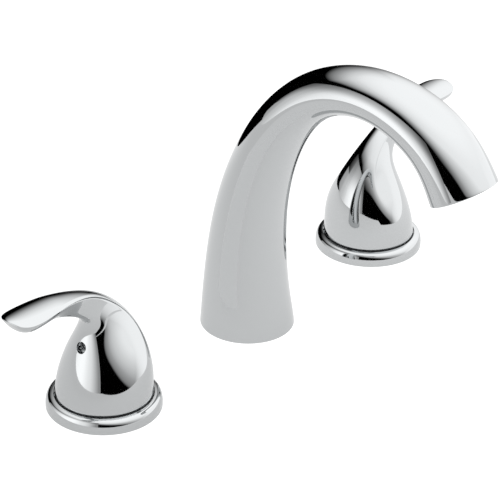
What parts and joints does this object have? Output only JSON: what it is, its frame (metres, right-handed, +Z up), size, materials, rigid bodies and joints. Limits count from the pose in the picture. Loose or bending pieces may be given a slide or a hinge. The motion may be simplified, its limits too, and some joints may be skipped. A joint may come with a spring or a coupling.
{
  "type": "roman tub faucet",
  "caption": "Deck-mounted roman tub faucet: a high arched spout with an oval mouth between hot and cold lever handles, each a dome that sweeps into a leaf-shaped lever, in polished chrome",
  "frame": {"origin": "centre of the spout's foot on the deck plane, under the spout's shank", "axes": "+Z up from the deck; +X from the hot handle towards the cold handle; the spout reaches towards -Y, over the tub"},
  "size_m": [0.4052, 0.2061, 0.1942],
  "materials": {
    "chrome": "polished plating",
    "brass": "machined",
    "steel": "plain",
    "rubber": "matte",
    "ceramic": "lapped",
    "plastic": "moulded"
  },
  "bodies": {
    "deck_set": {"hot_deck_gasket": "rubber", "hot_deck_washer": "steel", "hot_deck_nut": "brass", "hot_escutcheon": "chrome", "hot_glide_ring": "plastic", "hot_valve_body": "brass", "hot_seal_ring": "rubber", "hot_fixed_disc": "ceramic", "hot_cartridge_housing": "plastic", "hot_bonnet_nut": "brass", "cold_deck_gasket": "rubber", "cold_deck_washer": "steel", "cold_deck_nut": "brass", "cold_escutcheon": "chrome", "cold_glide_ring": "plastic", "cold_valve_body": "brass", "cold_seal_ring": "rubber", "cold_fixed_disc": "ceramic", "cold_cartridge_housing": "plastic", "cold_bonnet_nut": "brass", "spout_gasket": "rubber", "spout_deck_washer": "steel", "spout_deck_nut": "brass", "spout_shank": "brass", "shank_lower_o_ring": "rubber", "shank_upper_o_ring": "rubber", "spout_hub": "brass", "spout_set_screw": "steel", "waterway_tube": "brass", "outlet_collar": "plastic", "stream_straightener": "plastic", "spout": "chrome"},
    "hot_handle_body": {"hot_moving_disc": "ceramic", "hot_stem": "brass", "hot_stem_o_ring": "rubber", "hot_spline_adapter": "plastic", "hot_handle": "chrome", "hot_set_screw": "steel"},
    "cold_handle_body": {"cold_moving_disc": "ceramic", "cold_stem": "brass", "cold_stem_o_ring": "rubber", "cold_spline_adapter": "plastic", "cold_handle": "chrome", "cold_set_screw": "steel"}
  },
  "joints": [
    {"name": "hot_handle_turn", "type": "hinge", "parent": "deck_set", "child": "hot_handle_body", "pos_m": [-0.127, 0.0031, 0.03], "axis": [0, 0, 1], "range_deg": [0, 90]},
    {"name": "cold_handle_turn", "type": "hinge", "parent": "deck_set", "child": "cold_handle_body", "pos_m": [0.127, 0.0031, 0.03], "axis": [0, 0, 1], "range_deg": [-90, 0]}
  ]
}
